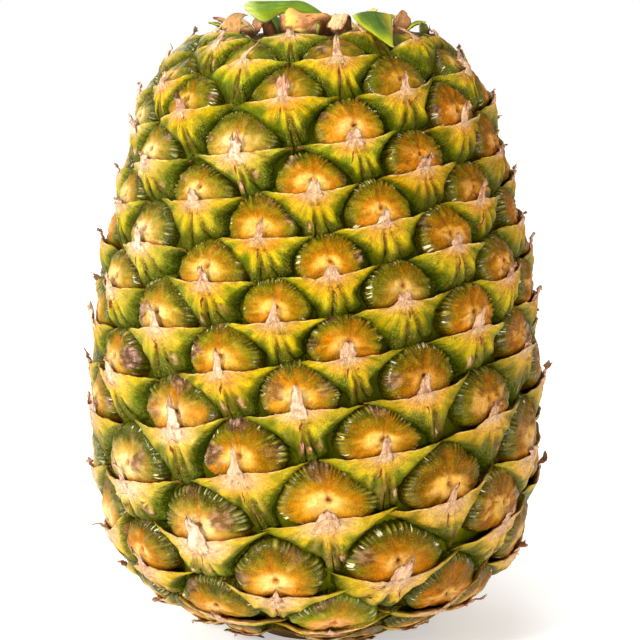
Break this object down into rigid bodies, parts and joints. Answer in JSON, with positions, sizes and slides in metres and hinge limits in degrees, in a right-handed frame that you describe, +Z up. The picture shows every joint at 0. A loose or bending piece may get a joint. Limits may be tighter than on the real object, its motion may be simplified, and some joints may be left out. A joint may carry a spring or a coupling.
{
  "type": "pineapple without its crown",
  "caption": "Whole ripening pineapple with its crown taken off, standing on its base, with short leaf stubs round the crown scar.",
  "frame": {"origin": "on the surface the fruit stands on, under the middle of its outline", "axes": "+Z up along the fruit from its base to the crown scar, -Y towards the front, +X to the right of the front"},
  "size_m": [0.1274, 0.1276, 0.1751],
  "materials": {
    "fruit_skin": "waxy, green grooves round golden eyes",
    "leaf_green": "waxy satin",
    "leaf_tan": "dry, fibrous",
    "leaf_dry": "dry, papery, veined",
    "papery_tip": "dry, torn, papery",
    "scar_tissue": "fibrous, matte"
  },
  "bodies": {
    "root": {"fruit_body": "fruit_skin", "crown_leaf_tan_curled": "leaf_tan", "crown_leaf_brown_flap": "leaf_dry", "crown_leaf_green_folded": "leaf_green", "crown_leaf_brown_veined": "leaf_dry", "crown_leaf_tan_ragged": "leaf_tan", "crown_leaf_green_triangle": "leaf_green", "crown_leaf_tan_striated": "leaf_tan", "crown_leaf_dark_green": "leaf_green", "crown_leaf_green_right": "leaf_green", "crown_leaf_dry_right": "leaf_dry", "crown_leaf_green_back_a": "leaf_green", "crown_leaf_tan_back_a": "leaf_tan", "crown_leaf_dry_back_a": "leaf_dry", "crown_leaf_green_back_b": "leaf_green", "crown_leaf_tan_back_b": "leaf_tan", "crown_leaf_dry_left": "leaf_dry", "crown_leaf_green_left": "leaf_green", "crown_leaf_inner_right": "leaf_green", "crown_leaf_inner_back_a": "leaf_tan", "crown_leaf_inner_back_b": "leaf_green", "crown_leaf_inner_back_c": "leaf_dry", "crown_leaf_inner_left": "leaf_tan", "basal_bract_front": "leaf_dry", "basal_bract_front_left": "leaf_dry", "basal_bract_right": "leaf_dry", "basal_bract_back_right": "leaf_dry", "basal_bract_back": "leaf_dry", "basal_bract_back_left": "leaf_dry"}
  },
  "joints": []
}
